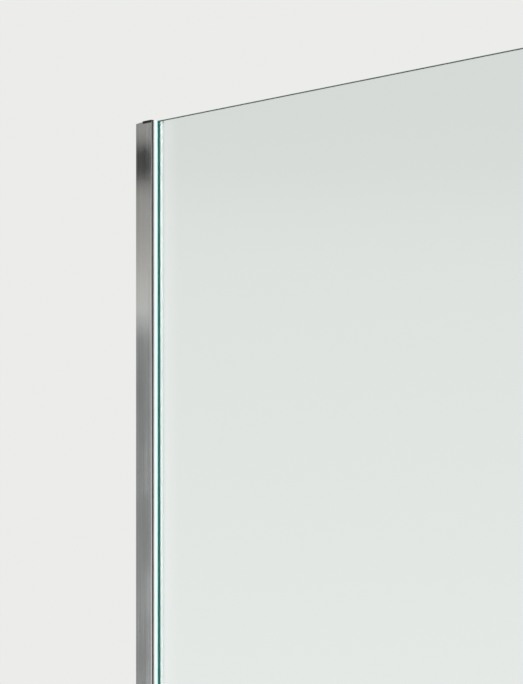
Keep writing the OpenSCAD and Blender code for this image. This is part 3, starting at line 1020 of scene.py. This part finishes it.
@dataclass(frozen=True)
class GlassClamp:
    """The clamp over the top edge of the glass, with its liner, plate, grub screws and pin."""

    edge: Softener = Softener(0.7 * MM)

    def build(self, bench: Bench) -> None:
        """Dresses the clamp's pieces and softens its block.

        Args:
            bench: Where pieces are finished.
        """
        bench.dress("clamp_liner", "pressure_plate", "clamp_grub_screws", "clamp_pin")
        block = self.edge.apply("glass_clamp", "clamp_block")
        bench.place(block, Body.PANEL, Slot.CHROME, "glass_clamp")


@dataclass(frozen=True)
class BraceBar:
    """The round bar between the clamp and the opposite wall, with its end fittings."""

    edge: Softener = Softener(0.5 * MM)

    def build(self, bench: Bench) -> None:
        """Dresses the bar's pieces and softens its end fittings.

        Args:
            bench: Where pieces are finished.
        """
        bench.dress("brace_tube", "tube_grub_screws", "swivel_washers")
        for node, name in (("clamp_end_eye", "clamp_eye_fitting"), ("flange_end_eye", "wall_eye_fitting")):
            bench.place(self.edge.apply(node, name), Body.BRACE, Slot.CHROME, node)


@dataclass(frozen=True)
class WallFlange:
    """The flange on the opposite wall, with its pin and screws."""

    edge: Softener = Softener(0.6 * MM)
    screw_count: int = 3
    circle: float = 21.0 * MM
    thread: Thread = Thread(core=2.0 * MM, ridge=0.38 * MM, pitch=1.8 * MM)

    def build(self, bench: Bench) -> None:
        """Dresses the flange's pieces, softens the flange and winds its screws' threads.

        Args:
            bench: Where pieces are finished.
        """
        bench.dress("flange_pin", "flange_screws")
        bench.place(self.edge.apply("wall_flange", "flange_plate"), Body.FLANGE, Slot.CHROME, "wall_flange")
        low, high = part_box("wall_flange")
        centre = Vector(((low.x + high.x) / 2, high.y, (low.z + high.z) / 2))
        turns = [i * math.tau / self.screw_count for i in range(self.screw_count)]
        points = [centre + Vector((math.sin(t), 0.0, math.cos(t))) * self.circle for t in turns]
        threads = self.thread.wind("flange_screw_threads", points, (0.0, 1.0, 0.0), bench)
        bench.place(threads, Body.FLANGE, Slot.STEEL)


@dataclass(frozen=True)
class Viewpoint:
    """Where the photograph was taken from, as worked out from its vanishing lines."""

    place: Triple = (5.547, -3.8576, 1.0478)
    heading: float = math.radians(54.1043)
    pitch: float = math.radians(6.0591)
    roll: float = math.radians(-0.1168)
    lens: float = 334.11
    sensor: float = 36.0
    nearest: float = 0.1
    farthest: float = 400.0

    def set_up(self) -> None:
        """Makes the scene's camera."""
        data = bpy.data.cameras.new("view")
        data.lens = self.lens
        data.sensor_width = self.sensor
        data.clip_start = self.nearest
        data.clip_end = self.farthest
        camera = show("view", data)
        camera.location = self.place
        level = Euler((math.pi / 2 + self.pitch, 0.0, self.heading)).to_matrix()
        camera.rotation_euler = (level @ Matrix.Rotation(self.roll, 3, "Z")).to_euler()
        bpy.context.scene.camera = camera


@dataclass(frozen=True)
class Softbox:
    """A large soft lamp that faces a point."""

    name: str
    place: Triple
    aim: Triple
    width: float
    height: float
    watts: float

    def set_up(self) -> None:
        """Makes the lamp, which lights the object but leaves no bright patch in polished metal."""
        data = bpy.data.lights.new(self.name, "AREA")
        data.shape = "RECTANGLE"
        data.size = self.width
        data.size_y = self.height
        data.energy = self.watts
        lamp = show(self.name, data)
        lamp.location = self.place
        lamp.rotation_euler = (Vector(self.aim) - Vector(self.place)).to_track_quat("-Z", "Y").to_euler()
        hide_from(lamp, "camera", "glossy")


@dataclass(frozen=True)
class Card:
    """A narrow upright card that only polished surfaces see, as a photographer sets beside metal."""

    name: str
    subject: Spot
    towards: Spot
    distance: float
    spread: tuple[float, ...]
    levels: Stops
    tones: tuple[Colour, Colour]
    tone_turn: Range = (1.78, 1.86)
    covers: tuple[float, ...] = (0.0, 1.0, 1.0, 0.0)
    level_mark: str = "level"
    cover_mark: str = "cover"

    def set_up(self) -> None:
        """Makes the card square to its direction, bright by height and fading at its two sides."""
        mesh = self.strip()
        mesh.materials.append(self.glow())
        card = show(self.name, mesh)
        hide_from(card, "camera", "diffuse", "transmission", "volume_scatter", "shadow")

    def strip(self) -> bpy.types.Mesh:
        """The card's faces, with its brightness and its cover marked at each corner.

        Returns:
            The mesh.
        """
        way = Vector(self.towards).normalized()
        across = Vector((-way.y, way.x))
        middle = Vector(self.subject) + way * self.distance
        spots = [middle + across * aside for aside in self.spread]
        wide = len(spots)
        faces = [
            (row + i, row + i + 1, row + wide + i + 1, row + wide + i)
            for row in range(0, wide * (len(self.levels) - 1), wide)
            for i in range(wide - 1)
        ]
        mesh = bpy.data.meshes.new(self.name)
        points = [(spot.x, spot.y, height) for height, _ in self.levels for spot in spots]
        mesh.from_pydata(points, [], faces)
        level = [bright for _, bright in self.levels for _ in spots]
        cover = [dense for _ in self.levels for dense in self.covers]
        for mark, values in ((self.level_mark, level), (self.cover_mark, cover)):
            mesh.attributes.new(mark, "FLOAT", "POINT").data.foreach_set("value", values)
        return mesh

    def glow(self) -> bpy.types.Material:
        """The card's light, in its lower and upper tone.

        Returns:
            The material, clear where the card doesn't cover.
        """
        sheet = Sheet(self.name)
        upper = sheet.ramp(sheet.place()["Z"], self.tone_turn)
        feeds = {"Color": sheet.tint(upper, *self.tones), "Strength": sheet.mark(self.level_mark)}
        light = sheet.add("ShaderNodeEmission", feeds).outputs[0]
        nothing = sheet.add("ShaderNodeBsdfTransparent").outputs[0]
        return sheet.surface(sheet.either(sheet.mark(self.cover_mark), nothing, light))


@dataclass(frozen=True)
class Studio:
    """A plain pale floor in even light, with a pale background behind the object and the glass."""

    backdrop: Colour = (0.838, 0.845, 0.825)
    glass_stops: Stops = (
        (0.50, 1.0), (0.52, 1.035), (0.54, 1.01), (0.5605, 0.992), (0.567, 0.935), (0.576, 0.925),
        (0.65, 1.015),
    )
    floor_colour: Colour = (0.80, 0.805, 0.795)
    floor_shade: float = 0.985
    floor_blotches: float = 0.7
    floor_gloss: float = 0.8
    floor_shine: float = 0.2
    middle: Spot = (0.45, 0.5)
    floor_edge: Range = (1.5, 3.2)
    reach: float = 150.0
    hair: float = 0.5 * MM
    daylight: float = 0.80
    horizon_stops: Stops = (
        (0.0, 0.60), (0.47, 0.62), (0.525, 0.80), (0.55, 0.50), (0.57, 0.25), (0.62, 0.25), (0.75, 0.60),
        (0.95, 1.0),
    )
    lamps: tuple[Softbox, ...] = (
        Softbox("key", (4.0, -4.5, 3.6), (0.3, 0.0, 1.4), 2.6, 2.6, 150.0),
        Softbox("fill", (0.5, 5.0, 3.55), (0.4, 0.3, 1.2), 3.0, 2.4, 75.0),
    )
    mirror_way: Spot = (-0.8207, -0.5713)
    profile_face: Spot = (20.0 * MM, -10.0 * MM)
    card_gap: float = 250.0 * MM
    face_spread: tuple[float, ...] = (-20.0 * MM, -15.0 * MM, 8.0 * MM, 8.3 * MM)
    tape_spread: tuple[float, ...] = (8.3 * MM, 8.6 * MM, 10.2 * MM, 10.4 * MM)
    glass_spread: tuple[float, ...] = (10.4 * MM, 12.0 * MM, 14.0 * MM, 27.0 * MM)
    face_levels: Stops = (
        (0.0, 0.28), (1.42, 0.28), (1.50, 0.27), (1.67, 0.25), (1.765, 0.25), (1.790, 0.27), (1.806, 0.42),
        (1.824, 0.58), (1.845, 0.54), (1.880, 0.44), (1.905, 0.385), (1.952, 0.31), (1.966, 0.215),
        (1.974, 0.10), (1.984, 0.035), (1.999, 0.028), (2.008, 0.12), (2.014, 0.23), (2.025, 0.31),
        (2.3, 0.33),
    )
    tape_levels: Stops = ((0.0, 0.02), (2.3, 0.02))
    glass_levels: Stops = ((0.0, 1.2), (1.6, 1.2), (2.0, 0.9), (2.3, 0.9))
    face_tones: tuple[Colour, Colour] = ((0.92, 0.962, 0.935), (1.03, 1.01, 0.955))
    plain_tones: tuple[Colour, Colour] = ((1.0, 1.0, 1.0), (1.0, 1.0, 1.0))

    def cards(self) -> tuple[Card, ...]:
        """The cards that the profile's outer face, the gasket and the glass beside it mirror.

        Returns:
            The cards, side by side.
        """
        stripes = (
            ("face_card", self.face_spread, self.face_levels, self.face_tones),
            ("tape_card", self.tape_spread, self.tape_levels, self.plain_tones),
            ("glass_card", self.glass_spread, self.glass_levels, self.plain_tones),
        )
        return tuple(
            Card(name, self.profile_face, self.mirror_way, self.card_gap, spread, levels, tones)
            for name, spread, levels, tones in stripes
        )

    def set_up(self) -> None:
        """Makes the floor, the wall, the lamps and the world, and keeps colours as they are written."""
        self.lay_floor()
        self.raise_wall()
        for prop in (*self.lamps, *self.cards()):
            prop.set_up()
        self.light_world()
        bpy.context.scene.view_settings.view_transform = "Standard"

    def plane(self, name: str, along: Vector, up: Vector, origin: Vector) -> bpy.types.Object:
        """A wide flat plane.

        Args:
            name: Its name.
            along: Half of its width.
            up: Half of its height, a quarter turn from the width as seen from the front.
            origin: Its middle.

        Returns:
            The plane, in the scene.
        """
        shape = bmesh.new()
        rim = [origin - along - up, origin + along - up, origin + along + up, origin - along + up]
        shape.faces.new([shape.verts.new(corner) for corner in rim])
        thing = new_piece(name, shape)
        return thing

    def lay_floor(self) -> None:
        """A wide pale floor just under the part, which fades into the plain background around it."""
        along, up = Vector((self.reach, 0, 0)), Vector((0, self.reach, 0))
        floor = self.plane("floor", along, up, Vector((0, 0, -self.hair)))
        sheet = Sheet("pale_floor")
        cloud = sheet.noise(self.floor_blotches, detail=2.0)
        darker = tuple(c * self.floor_shade for c in self.floor_colour)
        lit = sheet.principled({
            "Base Color": sheet.tint(cloud, darker, self.floor_colour),
            "Roughness": self.floor_gloss,
            "Specular IOR Level": self.floor_shine,
        })
        feeds = {0: sheet.point(), 1: (*self.middle, 0.0)}
        away = sheet.add("ShaderNodeVectorMath", feeds, operation="DISTANCE").outputs["Value"]
        path = sheet.add("ShaderNodeLightPath").outputs
        seen = sheet.sum("MAXIMUM", path["Is Camera Ray"], path["Is Transmission Ray"])
        share = sheet.sum("MULTIPLY", sheet.ramp(away, self.floor_edge), seen)
        plain = sheet.add("ShaderNodeEmission", {"Color": self.backdrop}).outputs[0]
        floor.data.materials.append(sheet.surface(sheet.either(share, lit, plain)))

    def raise_wall(self) -> None:
        """The plain wall that the profile stands on, seen from its front alone and clear from behind."""
        along, up = Vector((0, self.reach, 0)), Vector((0, 0, self.reach / 2))
        wall = self.plane("wall", along, up, Vector((-self.hair, 0, self.reach / 2)))
        sheet = Sheet("pale_wall")
        behind = sheet.add("ShaderNodeNewGeometry").outputs["Backfacing"]
        front = sheet.add("ShaderNodeEmission", {"Color": self.backdrop}).outputs[0]
        nothing = sheet.add("ShaderNodeBsdfTransparent").outputs[0]
        wall.data.materials.append(sheet.surface(sheet.either(behind, front, nothing)))
        hide_from(wall, "diffuse", "glossy", "transmission", "volume_scatter", "shadow")

    def light_world(self) -> None:
        """The pale background, even daylight for matt surfaces and a soft horizon for metal."""
        world = bpy.data.worlds.new("studio")
        world.use_nodes = True
        bpy.context.scene.world = world
        sky = Graph(world.node_tree)
        towards = sky.add("ShaderNodeTexCoord").outputs["Generated"]
        height = sky.add("ShaderNodeSeparateXYZ", {0: towards}).outputs["Z"]
        up = sky.ramp(height, (-1.0, 1.0))
        path = sky.add("ShaderNodeLightPath").outputs
        lit = sky.tint(path["Is Glossy Ray"], (self.daylight,) * 3, sky.levels(up, self.horizon_stops))
        through = sky.tint(1.0, sky.levels(up, self.glass_stops), self.backdrop, "MULTIPLY")
        lit = sky.tint(path["Is Transmission Ray"], lit, through)
        shown = sky.tint(path["Is Camera Ray"], lit, self.backdrop)
        light = sky.add("ShaderNodeBackground", {"Color": shown}).outputs[0]
        sky.add("ShaderNodeOutputWorld", {0: light})


def main() -> None:
    """Builds the camera, the studio and every sub-assembly."""
    logging.basicConfig(level=logging.INFO, format="%(message)s")
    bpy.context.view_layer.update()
    Viewpoint().set_up()
    Studio().set_up()
    bench = Bench()
    for assembly in (WallProfile(), GlassPane(), GlassClamp(), BraceBar(), WallFlange()):
        assembly.build(bench)
    LOG.info("%d pieces dressed", len(bench.report))


if __name__ == "__main__":
    main()
